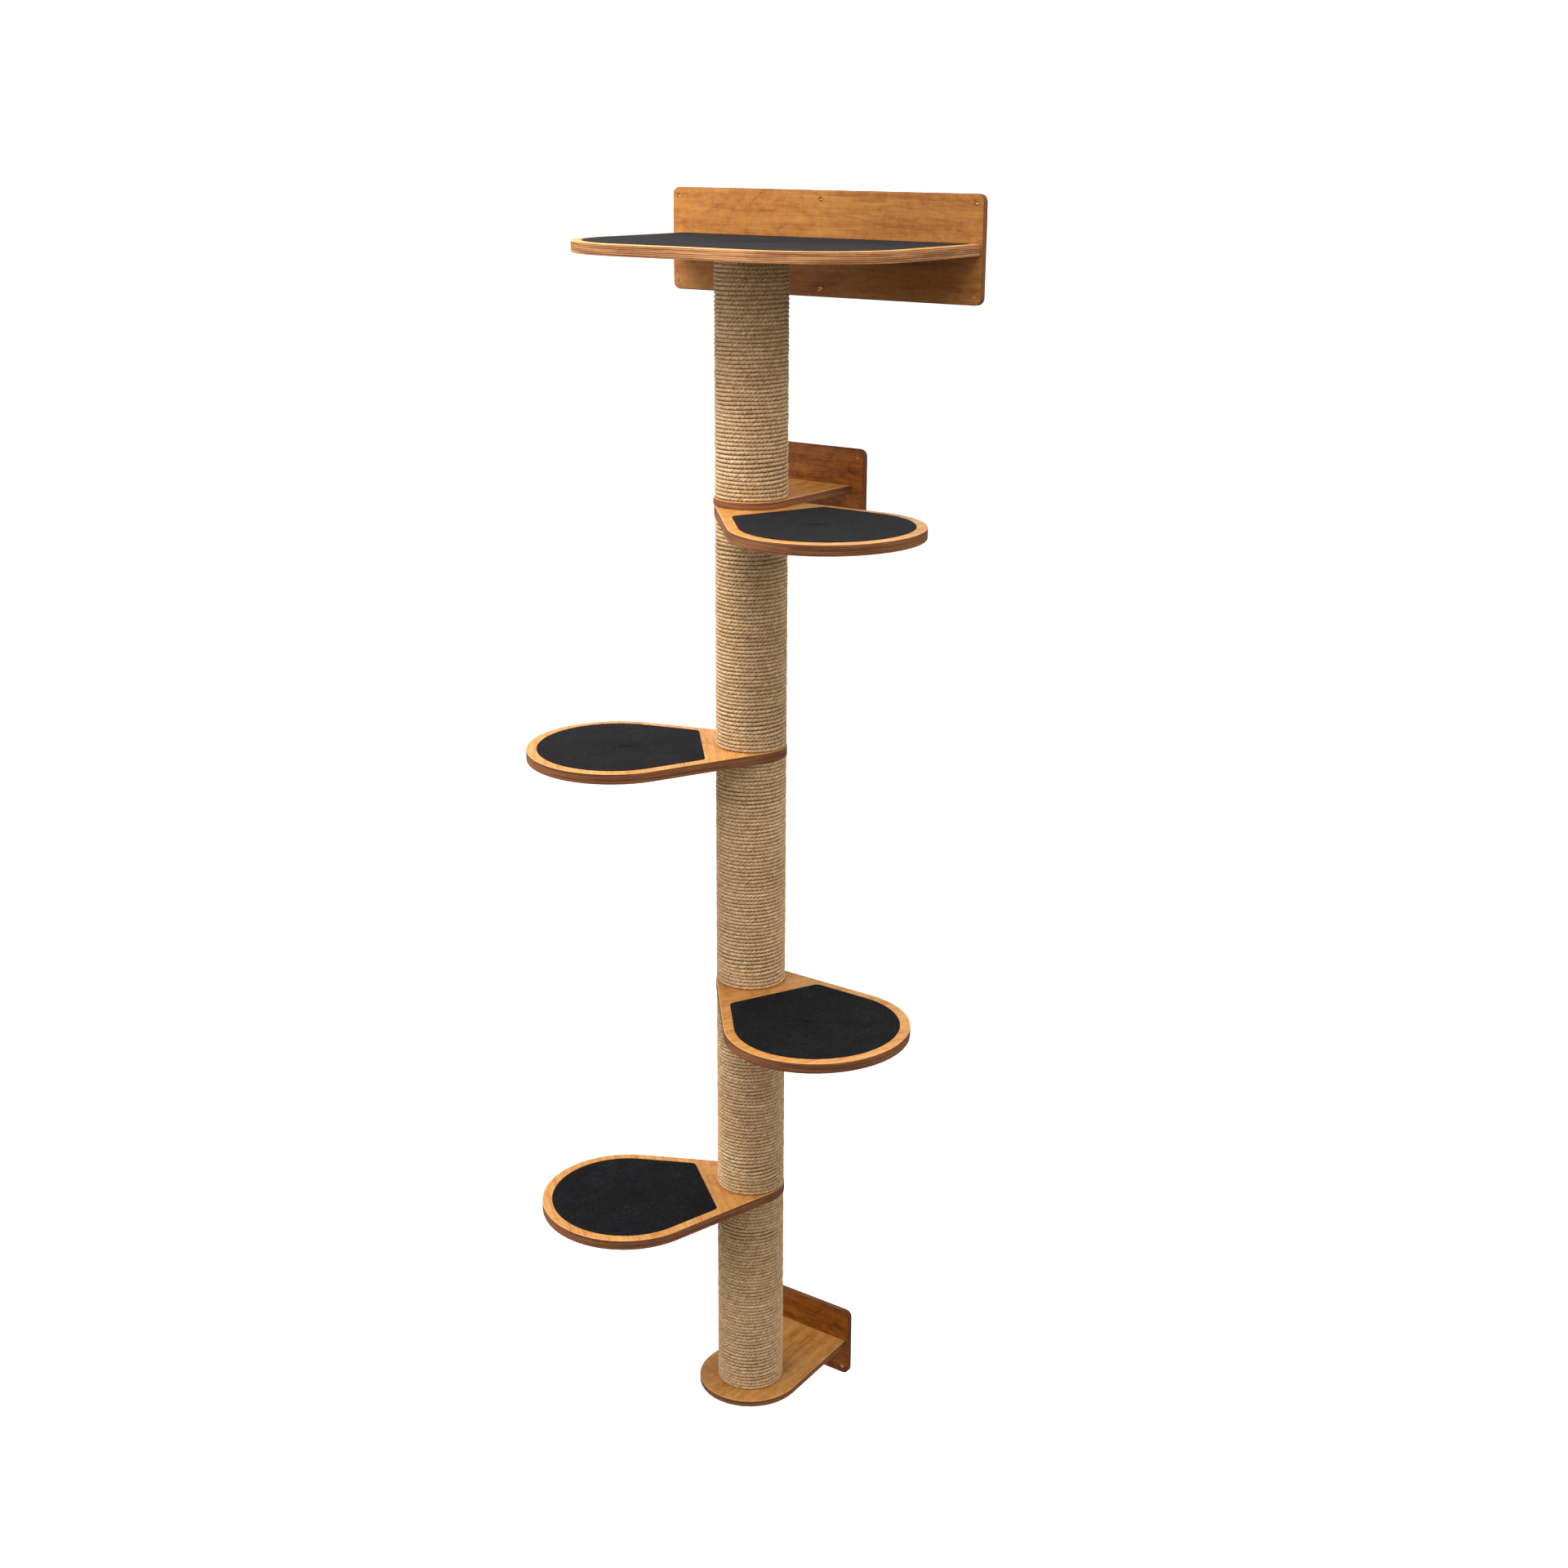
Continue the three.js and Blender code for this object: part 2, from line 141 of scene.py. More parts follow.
# Screws
SCREW_SIDES = 20
SHANK_SHARES = {"wall": 2.2 / 4.2, "bracket": 2.0 / 4.2}  # the shank's radius as a share of the head's
RECESS_DEPTH = 0.9 * MM
RECESS_SLOPE = [(0.30, 1.0), (0.42, 0.5), (0.55, 0.0)]  # shares of the head's radius, and of the depth there
RECESS_WAIST = 0.62  # the recess's reach between the arms of its cross, as a share of the arms'
RECESS_SHARPNESS = 3  # of the cross's arms
HEAD_FLAT = 0.97  # as a share of the head's radius
HEAD_CHAMFER = 0.15 * MM
PLAIN_SHANK = 3 * MM
THREAD_PITCH = 2.4 * MM
THREAD_STEPS = 6
THREAD_WIDTH = 0.5  # as a share of the pitch
THREAD_DEPTH = 0.3  # as a share of the shank's radius
POINT_LENGTH = 3  # in radii of the shank

JOINED = 0.02 * MM  # vertices closer than this are one
SMOOTH_UNDER = math.radians(50)


def srgb(red, green, blue):
    """A linear colour from its 8-bit screen values."""
    def linear(value):
        share = value / 255
        return share / 12.92 if share <= 0.04045 else ((share + 0.055) / 1.055) ** 2.4
    return (linear(red), linear(green), linear(blue), 1.0)


# ------------------------------------------------------------------------------------------- camera, lights

def make_camera():
    data = bpy.data.cameras.new("camera")
    data.sensor_width = SENSOR_WIDTH
    data.lens = CAMERA_LENS
    camera = bpy.data.objects.new("camera", data)
    yaw = Matrix.Rotation(math.radians(CAMERA_YAW), 4, "Z")
    pitch = Matrix.Rotation(math.radians(90 - CAMERA_PITCH), 4, "X")
    roll = Matrix.Rotation(math.radians(CAMERA_ROLL), 4, "Z")
    camera.matrix_world = Matrix.Translation(CAMERA_PLACE) @ yaw @ pitch @ roll
    bpy.context.scene.collection.objects.link(camera)
    bpy.context.scene.camera = camera


def place_lamp(name, data, place, target):
    lamp = bpy.data.objects.new(name, data)
    lamp.location = place
    lamp.rotation_mode = "QUATERNION"
    lamp.rotation_quaternion = (Vector(target) - Vector(place)).to_track_quat("-Z", "Y")
    lamp.visible_camera = False
    bpy.context.scene.collection.objects.link(lamp)


def soft_sun(name, azimuth, elevation, strength, spread):
    """Even light from one side of the studio: a large panel, far away."""
    data = bpy.data.lights.new(name, "SUN")
    data.energy = strength
    data.angle = math.radians(spread)
    side, up = math.radians(azimuth), math.radians(elevation)
    place = (math.sin(side) * math.cos(up), -math.cos(side) * math.cos(up), math.sin(up))
    place_lamp(name, data, place, (0, 0, 0))


def softbox(name, place, aim, watts):
    data = bpy.data.lights.new(name, "AREA")
    data.shape = "SQUARE"
    data.size = SOFTBOX_SIZE
    data.energy = watts
    place_lamp(name, data, place, aim)


def make_world():
    """A studio with pale walls: it lights from the horizon, and less from above and below. Behind the tree it
    is white."""
    world = bpy.data.worlds.new("studio")
    world.use_nodes = True
    tree = world.node_tree
    background = tree.nodes["Background"]
    height = tree.nodes.new("ShaderNodeSeparateXYZ")
    ramp = tree.nodes.new("ShaderNodeValToRGB")
    while len(ramp.color_ramp.elements) < len(STUDIO_SHARES):
        ramp.color_ramp.elements.new(0.5)
    for element, (place, share) in zip(ramp.color_ramp.elements, STUDIO_SHARES):
        element.position = place
        element.color = (share, share, share, 1.0)
    halved = tree.nodes.new("ShaderNodeMath")
    halved.operation = "MULTIPLY_ADD"
    halved.inputs[1].default_value = 0.5
    halved.inputs[2].default_value = 0.5
    backdrop = tree.nodes.new("ShaderNodeMix")
    backdrop.data_type = "RGBA"
    backdrop.inputs[MIX_SECOND].default_value = WHITE
    background.inputs["Strength"].default_value = STUDIO_LIGHT
    tree.links.new(tree.nodes.new("ShaderNodeTexCoord").outputs["Generated"], height.inputs[0])
    tree.links.new(height.outputs["Z"], halved.inputs[0])
    tree.links.new(halved.outputs["Value"], ramp.inputs["Fac"])
    tree.links.new(tree.nodes.new("ShaderNodeLightPath").outputs["Is Camera Ray"], backdrop.inputs[MIX_SHARE])
    tree.links.new(ramp.outputs["Color"], backdrop.inputs[MIX_FIRST])
    tree.links.new(backdrop.outputs[MIX_RESULT], background.inputs["Color"])
    bpy.context.scene.world = world


def make_lights():
    soft_sun("high", **HIGH_SUN)
    soft_sun("wall_bounce", **WALL_BOUNCE)
    for name, box in SOFTBOXES.items():
        softbox(name, **box)
    make_world()


def make_floor():
    look = Look("pale_floor")
    look.colour(FLOOR_COLOUR)
    look.set("Roughness", FLOOR_ROUGHNESS)
    look.set("Specular IOR Level", 0.0)
    look.set("Emission Strength", FLOOR_GLOW)
    height = cad_box[0].z - FLOOR_BELOW
    corners = [(x * FLOOR_HALF, y * FLOOR_HALF, height) for x, y in ((-1, -1), (1, -1), (1, 1), (-1, 1))]
    floor = new_piece("floor", new_mesh("floor", corners, [(0, 1, 2, 3)], look.material, smooth=False))
    floor.visible_diffuse = False


# --------------------------------------------------------------------------------------------- materials

MIX_SHARE, MIX_FIRST, MIX_SECOND = 0, 6, 7  # a colour Mix node's inputs
MIX_RESULT = 2


class Look:
    """A material in the making. Most methods add one node and give back its output."""

    def __init__(self, name):
        self.material = bpy.data.materials.new(name)
        self.material.use_nodes = True
        self.tree = self.material.node_tree
        self.shader = next(n for n in self.tree.nodes if n.type == "BSDF_PRINCIPLED")

    def node(self, kind, **settings):
        node = self.tree.nodes.new("ShaderNode" + kind)
        for key, value in settings.items():
            setattr(node, key, value)
        return node

    def feed(self, socket, value):
        if isinstance(value, bpy.types.NodeSocket):
            self.tree.links.new(value, socket)
        else:
            socket.default_value = value

    def set(self, socket_name, value):
        self.feed(self.shader.inputs[socket_name], value)

    def colour(self, value):
        self.set("Base Color", value)

    def object_place(self):
        return self.node("TexCoord").outputs["Object"]

    def object_normal(self):
        return self.node("TexCoord").outputs["Normal"]

    def uv(self, name):
        return self.node("UVMap", uv_map=name).outputs["UV"]

    def local(self, place, turn):
        """Coordinates in a frame at place, turned by turn (degrees about X, Y, Z)."""
        mapping = self.node("Mapping", vector_type="TEXTURE")
        self.feed(mapping.inputs["Vector"], self.object_place())
        mapping.inputs["Location"].default_value = place
        mapping.inputs["Rotation"].default_value = [math.radians(a) for a in turn]
        return mapping.outputs["Vector"]

    def stretched(self, vector, scales):
        node = self.node("VectorMath", operation="MULTIPLY")
        self.feed(node.inputs[0], vector)
        node.inputs[1].default_value = scales
        return node.outputs["Vector"]

    def dot(self, vector, axis):
        node = self.node("VectorMath", operation="DOT_PRODUCT")
        self.feed(node.inputs[0], vector)
        node.inputs[1].default_value = axis
        return node.outputs["Value"]

    def part(self, vector, axis):
        node = self.node("SeparateXYZ")
        self.feed(node.inputs[0], vector)
        return node.outputs[axis]

    def noise(self, vector, scale=1.0, detail=4.0, roughness=0.5, distortion=0.0):
        """Noise at one scale, or at a scale for each axis."""
        if isinstance(scale, tuple):
            vector, scale = self.stretched(vector, scale), 1.0
        node = self.node("TexNoise")
        self.feed(node.inputs["Vector"], vector)
        node.inputs["Scale"].default_value = scale
        node.inputs["Detail"].default_value = detail
        node.inputs["Roughness"].default_value = roughness
        node.inputs["Distortion"].default_value = distortion
        return node.outputs["Fac"]

    def maths(self, operation, first, second=0.0, third=0.0):
        node = self.node("Math", operation=operation)
        for socket, value in zip(node.inputs, (first, second, third)):
            self.feed(socket, value)
        return node.outputs["Value"]

    def total(self, *weighted):
        """The sum of pairs of a value and its weight."""
        value, weight = weighted[0]
        result = self.maths("MULTIPLY", value, weight)
        for value, weight in weighted[1:]:
            result = self.maths("MULTIPLY_ADD", value, weight, result)
        return result

    def span(self, value, low, high, to_low=0.0, to_high=1.0):
        """value from low to high, as a number from to_low to to_high, held at the ends."""
        node = self.node("MapRange", interpolation_type="SMOOTHSTEP")
        ends = {"From Min": low, "From Max": high, "To Min": to_low, "To Max": to_high}
        for name, number in ends.items():
            node.inputs[name].default_value = number
        self.feed(node.inputs["Value"], value)
        return node.outputs["Result"]

    def ramp(self, value, stops):
        node = self.node("ValToRGB")
        elements = node.color_ramp.elements
        while len(elements) < len(stops):
            elements.new(0.5)
        for element, (place, colour) in zip(elements, stops):
            element.position = place
            element.color = colour
        self.feed(node.inputs["Fac"], value)
        return node.outputs["Color"]

    def mix(self, share, first, second, blend="MIX"):
        node = self.node("Mix", data_type="RGBA", blend_type=blend)
        self.feed(node.inputs[MIX_SHARE], share)
        self.feed(node.inputs[MIX_FIRST], first)
        self.feed(node.inputs[MIX_SECOND], second)
        return node.outputs[MIX_RESULT]

    def bump(self, height, depth, strength=1.0):
        node = self.node("Bump")
        node.inputs["Strength"].default_value = strength
        node.inputs["Distance"].default_value = depth
        self.feed(node.inputs["Height"], height)
        self.set("Normal", node.outputs["Normal"])


# Stained plywood. Each wood has its face's and its edge's tones from dark to light, the tone of its rounded
# arris with how much of it shows, partly a painted highlight, the painted light on its face as factors at its
# left and right ends, and its gloss.
EVEN = (1.0, 1.0)
# The steps' and shelf's top arris: partly paler sanded wood, partly a painted highlight where the light
# catches the rounded edge.
SANDED_ARRIS_AND_HIGHLIGHT = (srgb(218, 172, 116), 0.55)
DARK_ARRIS = (srgb(70, 40, 20), 0.7)
STEP_FACE = [(0.34, srgb(132, 76, 30)), (0.50, srgb(170, 114, 54)), (0.66, srgb(196, 143, 79))]
STEP_EDGE = [(0.25, srgb(74, 41, 24)), (0.75, srgb(135, 88, 55))]
WOODS = {
    "step": {"face": STEP_FACE, "edge": STEP_EDGE, "arris": SANDED_ARRIS_AND_HIGHLIGHT, "ends": EVEN, "gloss": 0.15},
    "shelf": {
        "face": STEP_FACE,
        "edge": [(0.25, srgb(95, 55, 30)), (0.75, srgb(184, 132, 87))],
        "arris": SANDED_ARRIS_AND_HIGHLIGHT,
        "ends": EVEN,
        "gloss": 0.15,
    },
    "top_plate": {
        "face": [(0.34, srgb(91, 50, 19)), (0.50, srgb(129, 80, 36)), (0.66, srgb(149, 103, 50))],
        "edge": STEP_EDGE,
        "arris": DARK_ARRIS,
        # painted light: the face brighter at its left end and darker at its right, as the lamps fall off
        "ends": (1.14, 0.94),
        "gloss": 0.1,
    },
    "shaded_small_plate": {
        # Darker face tones than the top plate: painted shade for the shadow of the post and the boards above.
        "face": [(0.38, srgb(66, 30, 4)), (0.50, srgb(111, 59, 14)), (0.62, srgb(142, 83, 26))],
        "edge": STEP_EDGE,
        "arris": DARK_ARRIS,
        "ends": EVEN,
        "gloss": 0.1,
    },
}
# Painted light: a face's brightness factor changes between these.
PAINTED_LIGHT_ENDS_MEET = (0.20, 0.42)  # metres from the left end, between which a face's brightness changes
PORE_TONE = srgb(84, 47, 20)
VENEER = 1.4 * MM
FACE_ABOVE = 0.80  # where the surface is this square to the board's face, it shows the face veneer
EDGE_BELOW = 0.35  # and where it is less square than this, the edge
EDGE_ROUGHNESS = 0.9
FIGURE_RING = 0.045  # noise step from one line of the wood's figure to the next

# The wood's noises, with X along the grain
STREAKS = {"scale": (5.0, 70.0, 70.0), "detail": 6.0, "roughness": 0.62}
LINES = {"scale": (14.0, 330.0, 330.0), "detail": 3.0, "roughness": 0.6}
MOTTLE = {"scale": 85.0, "detail": 4.0, "roughness": 0.65, "distortion": 0.6}
FIGURE = {"scale": (4.0, 11.0, 11.0), "detail": 2.0, "distortion": 0.8}
PORES = {"scale": (60.0, 900.0, 900.0), "detail": 2.0}
ALONG_EDGE = {"scale": (7.0, 7.0, 230.0), "detail": 4.0, "roughness": 0.6}


def plywood(name, place, turn, through, wood):
    """Stained plywood. In the frame at place and turn, X runs along the grain and Z through the board.
    through is the object axis that comes out of the board's front, whose arris has a tone of its own."""
    look = Look(name)
    wood = WOODS[wood]
    here = look.local(place, turn)
    streaks, lines = look.noise(here, **STREAKS), look.noise(here, **LINES)
    mottle, pores = look.noise(here, **MOTTLE), look.noise(here, **PORES)
    figure = look.noise(here, **FIGURE)
    rings = look.span(look.maths("PINGPONG", figure, FIGURE_RING), 0.0, 0.35 * FIGURE_RING)
    tone = look.total((lines, 0.25), (streaks, 0.40), (mottle, 0.25), (rings, 0.05), (figure, 0.10))
    face = look.ramp(tone, wood["face"])
    face = look.mix(look.span(pores, 0.38, 0.28, 0.0, 0.5), face, PORE_TONE)
    # Painted light: the face brightened towards one end and darkened towards the other.
    if wood["ends"] != EVEN:
        ends = look.span(look.part(here, "X"), *PAINTED_LIGHT_ENDS_MEET, *wood["ends"])
        face = look.mix(1.0, face, ends, "MULTIPLY")

    wavy = look.maths("MULTIPLY_ADD", figure, 0.3 * VENEER, look.part(here, "Z"))
    veneer = look.span(look.maths("PINGPONG", wavy, VENEER), 0.35 * VENEER, 0.65 * VENEER)
    along_edge = look.span(look.noise(here, **ALONG_EDGE), 0.32, 0.68)
    edge = look.ramp(look.total((mottle, 0.2), (veneer, 0.35), (along_edge, 0.45)), wood["edge"])

    front = look.dot(look.object_normal(), through)
    facing = look.maths("ABSOLUTE", front)
    edge_share = look.span(facing, FACE_ABOVE, EDGE_BELOW)
    # The arris tone goes only on the arris at the board's front side. On the steps and shelf it is partly a
    # painted highlight where the light falls; on the plates it is a dark stained edge.
    arris_tone_and_highlight, arris_share_and_highlight = wood["arris"]
    arris = look.span(front, 0.40, 0.75, 0.0, arris_share_and_highlight)
    arris = look.maths("MULTIPLY", arris, look.span(front, 0.98, 0.85))
    look.colour(look.mix(arris, look.mix(edge_share, face, edge), arris_tone_and_highlight))

    dull_edge = look.span(facing, EDGE_BELOW, FACE_ABOVE, EDGE_ROUGHNESS, 0.0)
    look.set("Roughness", look.maths("MAXIMUM", dull_edge, look.span(tone, 0.3, 0.7, 0.60, 0.42)))
    look.set("Specular IOR Level", wood["gloss"])
    look.bump(look.total((pores, 0.4), (streaks, 0.6)), 0.15 * MM, 0.6)
    return look.material


# Jute. The noises' X runs along the rope in metres, and their Y round it in turns.
FIBRES = {"scale": (150.0, 16.0, 1.0), "detail": 4.0, "roughness": 0.65}
BULGES = {"scale": (110.0, 3.0, 1.0), "detail": 2.0, "roughness": 0.6}
PATCHES = {"scale": (5.0, 0.5, 1.0), "detail": 3.0}
FLECKS = {"scale": (300.0, 20.0, 1.0), "detail": 2.0}
BROAD = {"scale": 9.0, "detail": 2.0}  # in the object's own space, so that it goes across the turns
JUTE_TONES = [(0.36, srgb(135, 101, 65)), (0.50, srgb(193, 158, 114)), (0.64, srgb(231, 206, 166))]
JUTE_PALE = srgb(240, 218, 181)
# Dark fibres, and painted shade in the grooves between the strands
JUTE_DARK_AND_GROOVE_SHADE = srgb(100, 70, 41)
# painted shade where two turns meet
JUTE_GAP_SHADE = srgb(81, 53, 32)  # where two turns meet


def jute():
    """Twisted jute rope. The UV map rope has metres along the rope in U, and turns round it in V. The
    attribute outward is 1 on the rope's outer side and 0 where it meets the turns above and below."""
    look = Look("jute_rope")
    along = look.uv("rope")
    fibres, bulges = look.noise(along, **FIBRES), look.noise(along, **BULGES)
    patches, broad = look.noise(along, **PATCHES), look.noise(look.object_place(), **BROAD)
    tone = look.total((patches, 0.15), (fibres, 0.28), (bulges, 0.40), (broad, 0.12))
    flecks = look.noise(along, **FLECKS)
    groove_shade = look.maths("PINGPONG", look.maths("MULTIPLY", look.part(along, "Y"), STRANDS), 0.5)
    outward = look.node("Attribute", attribute_name="outward").outputs["Fac"]
    colour = look.ramp(tone, JUTE_TONES)
    colour = look.mix(look.span(flecks, 0.56, 0.66, 0.0, 0.4), colour, JUTE_PALE)
    colour = look.mix(look.span(flecks, 0.44, 0.34, 0.0, 0.35), colour, JUTE_DARK_AND_GROOVE_SHADE)
    # Painted shade: darker in the grooves between the strands.
    colour = look.mix(look.span(groove_shade, 0.2, 0.5, 0.0, 0.4), colour, JUTE_DARK_AND_GROOVE_SHADE)
    # Painted shade where the turns meet, strongest where outward is 0.
    look.colour(look.mix(look.span(outward, 0.62, 0.12, 0.0, 0.6), colour, JUTE_GAP_SHADE))
    look.set("Roughness", look.span(fibres, 0.3, 0.7, 0.95, 0.75))
    look.set("Specular IOR Level", 0.2)
    look.set("Sheen Weight", 0.1)
    look.set("Sheen Roughness", 0.4)
    look.bump(fibres, 0.5 * MM, 0.6)
    return look.material


PILE = {"scale": 700.0, "detail": 3.0, "roughness": 0.7}
TUFTS = {"scale": 210.0, "detail": 3.0, "roughness": 0.7, "distortion": 1.5}
WORN = {"scale": 24.0, "detail": 3.0}
FELT_TONES = [(0.41, srgb(2, 2, 3)), (0.52, srgb(5, 5, 7)), (0.63, srgb(38, 35, 41))]


def felt_carpet():
    look = Look("black_carpet")
    place = look.object_place()
    pile, tufts, worn = look.noise(place, **PILE), look.noise(place, **TUFTS), look.noise(place, **WORN)
    look.colour(look.ramp(look.total((worn, 0.12), (pile, 0.42), (tufts, 0.46)), FELT_TONES))
    look.set("Roughness", look.span(pile, 0.3, 0.7, 1.0, 0.88))
    look.set("Specular IOR Level", 0.1)
    look.set("Sheen Weight", 0.03)
    look.set("Sheen Roughness", 0.3)
    look.bump(look.total((pile, 0.4), (tufts, 0.6)), 0.8 * MM, 0.9)
    return look.material


PAPER_FIBRES = {"scale": (90.0, 90.0, 260.0), "detail": 5.0, "roughness": 0.65}
PAPER_TONES = [(0.35, srgb(140, 108, 74)), (0.65, srgb(176, 142, 102))]
PLUG_GRAIN = {"scale": (20.0, 160.0, 160.0), "detail": 5.0, "roughness": 0.6}
PLUG_TONES = [(0.3, srgb(196, 158, 110)), (0.7, srgb(228, 198, 154))]
STAINS = {"scale": 260.0, "detail": 4.0, "roughness": 0.6}
BRONZE_TONES = [(0.35, srgb(104, 72, 38)), (0.65, srgb(160, 118, 66))]
ZINC_TONES = [(0.35, srgb(150, 154, 158)), (0.65, srgb(196, 200, 204))]


def cardboard():
    look = Look("cardboard_tube")
    fibres = look.noise(look.object_place(), **PAPER_FIBRES)
    look.colour(look.ramp(fibres, PAPER_TONES))
    look.set("Roughness", look.span(fibres, 0.3, 0.7, 0.95, 0.8))
    look.bump(fibres, 0.2 * MM, 0.5)
    return look.material


def plug_wood():
    look = Look("plug_wood")
    grain = look.noise(look.object_place(), **PLUG_GRAIN)
    look.colour(look.ramp(grain, PLUG_TONES))
    look.set("Roughness", look.span(grain, 0.3, 0.7, 0.8, 0.6))
    look.bump(grain, 0.15 * MM, 0.5)
    return look.material


def metal(name, tones, rough_low, rough_high):
    look = Look(name)
    stains = look.noise(look.object_place(), **STAINS)
    look.colour(look.ramp(stains, tones))
    look.set("Metallic", 1.0)
    look.set("Roughness", look.span(stains, 0.35, 0.65, rough_high, rough_low))
    look.bump(stains, 0.03 * MM, 0.4)
    return look.material


# ------------------------------------------------------------------------------------------- mesh helpers

def post_axis():
    """X and Y of the post's axis."""
    low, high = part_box("post_1_rope")
    return (low.x + high.x) / 2, (low.y + high.y) / 2


def new_mesh(name, points, faces, material, smooth):
    mesh = bpy.data.meshes.new(name)
    mesh.from_pydata(points, [], faces)
    mesh.materials.append(material)
    mesh.polygons.foreach_set("use_smooth", [smooth] * len(mesh.polygons))
    mesh.update()
    return mesh


def new_piece(name, mesh):
    piece = bpy.data.objects.new(name, mesh)
    bpy.context.scene.collection.objects.link(piece)
    return piece


def ring_quads(rings, around):
    """Faces between neighbouring rings of points, each ring closed on itself."""
    first = np.arange(rings - 1)[:, None] * around + np.arange(around)
    turn = np.arange(rings - 1)[:, None] * around + (np.arange(around) + 1) % around
    return np.stack([first, turn, turn + around, first + around], -1).reshape(-1, 4)


def smoothing_group():
    """Geometry nodes that join the triangles' corners and shade them smooth up to an angle."""
    group = bpy.data.node_groups.new("smooth_by_angle", "GeometryNodeTree")
    group.interface.new_socket("Geometry", in_out="INPUT", socket_type="NodeSocketGeometry")
    group.interface.new_socket("Geometry", in_out="OUTPUT", socket_type="NodeSocketGeometry")
    add, link = group.nodes.new, group.links.new
    join = add("GeometryNodeMergeByDistance")
    join.inputs["Distance"].default_value = JOINED
    faces = add("GeometryNodeSetShadeSmooth")
    faces.domain = "FACE"
    edges = add("GeometryNodeSetShadeSmooth")
    edges.domain = "EDGE"
    edges.inputs["Shade Smooth"].default_value = False
    angle = add("GeometryNodeInputMeshEdgeAngle")
    sharp = add("FunctionNodeCompare")
    sharp.operation = "GREATER_THAN"
    sharp.inputs["B"].default_value = SMOOTH_UNDER
    link(add("NodeGroupInput").outputs[0], join.inputs["Geometry"])
    link(join.outputs["Geometry"], faces.inputs["Geometry"])
    link(faces.outputs["Geometry"], edges.inputs["Geometry"])
    link(angle.outputs["Unsigned Angle"], sharp.inputs["A"])
    link(sharp.outputs["Result"], edges.inputs["Selection"])
    link(edges.outputs["Geometry"], add("NodeGroupOutput").inputs[0])
    return group


def finish_node(name, material, smoothing):
    """Gives a carried-over CAD node its material and smooth shading."""
    node = NODES[name]
    node.data.materials.clear()
    node.data.materials.append(material)
    node.modifiers.new("smooth", "NODES").node_group = smoothing
    weighted = node.modifiers.new("weighted", "WEIGHTED_NORMAL")
    weighted.keep_sharp = True


# ------------------------------------------------------------------------------------------------- rope

def climb(turns, samples):
    """Height of the winding at evenly spaced samples, in turns. The end turns lie flat against the boards,
    with a short climb at the back. From turn to turn the climb spreads out until it is even."""
    position = np.linspace(0, turns, samples)
    number = np.minimum(position.astype(int), turns - 1)
    share = position - number
    width_low = np.minimum(1, FIRST_CLIMB * CLIMB_GROWTH ** number)
    width_high = np.minimum(1, FIRST_CLIMB * CLIMB_GROWTH ** (turns - 1 - number))
    late = np.clip((share - 1 + width_low) / width_low, 0, 1)
    early = np.clip(share / width_high, 0, 1)
    return number + np.where(number < turns / 2, late, early)


def softened(values, window):
    """A moving average that keeps both ends."""
    padded = np.concatenate([np.full(window, values[0]), values, np.full(window, values[-1])])
    kernel = np.hanning(2 * window + 1)
    return np.convolve(padded, kernel / kernel.sum(), "valid")


def waves(draw, angle, height, count, low, high):
    """A gentle random unevenness over angle and height, about from -1 to 1."""
    total = np.zeros_like(angle)
    for _ in range(count):
        round_it = draw.integers(1, MOST_WAVES_ROUND + 1)
        along = draw.uniform(low, high)
        total += np.sin(round_it * angle + 2 * math.pi * height / along + draw.uniform(0, 2 * math.pi))
    return total / math.sqrt(count)


def map_rope(piece, around, along, wound_faces):
    """The UV map rope: metres along the rope in U, and turns round it in V."""
    corner = np.zeros(len(piece.data.loops), int)
    piece.data.loops.foreach_get("vertex_index", corner)
    uv = np.stack([along[corner // around], (corner % around) / around], -1)
    wraps = uv[:wound_faces * 4].reshape(-1, 4, 2)
    seam = (wraps[:, :, 1].max(1) - wraps[:, :, 1].min(1)) > 0.5
    wraps[seam, :, 1] += wraps[seam, :, 1] < 0.5
    layer = piece.data.uv_layers.new(name="rope")
    layer.data.foreach_set("uv", uv.ravel())


def wound_path(draw, bottom, top, winding, turns, rings):
    """The rope's centre line: its angle round the post, its height and its distance from the post's axis."""
    angle = math.pi / 2 + np.linspace(0, 2 * math.pi * turns, rings)
    window = round(rings / turns * CLIMB_SOFTENED)
    height = bottom + (top - bottom) / turns * softened(climb(turns, rings), window)
    calm = np.clip(np.minimum(height - bottom, top - height) / CALM_END, 0, 1)
    height = height + HEIGHT_UNEVEN * calm * waves(draw, angle, height, **HEIGHT_WAVES)
    out = winding + OUT_UNEVEN * waves(draw, angle, height, **OUT_WAVES)
    return angle, height, out


def rope_thickness(draw, angle, height):
    """The rope's radius along its centre line, smaller at its cut ends."""
    thickness = ROPE_RADIUS * (1 + THICKNESS_UNEVEN * waves(draw, angle, height, **THICKNESS_WAVES))
    from_start = np.arange(len(angle))
    from_end = np.minimum(from_start, from_start[::-1])
    return thickness * np.clip(FIRST_RING + END_GROWTH * from_end, 0, 1)


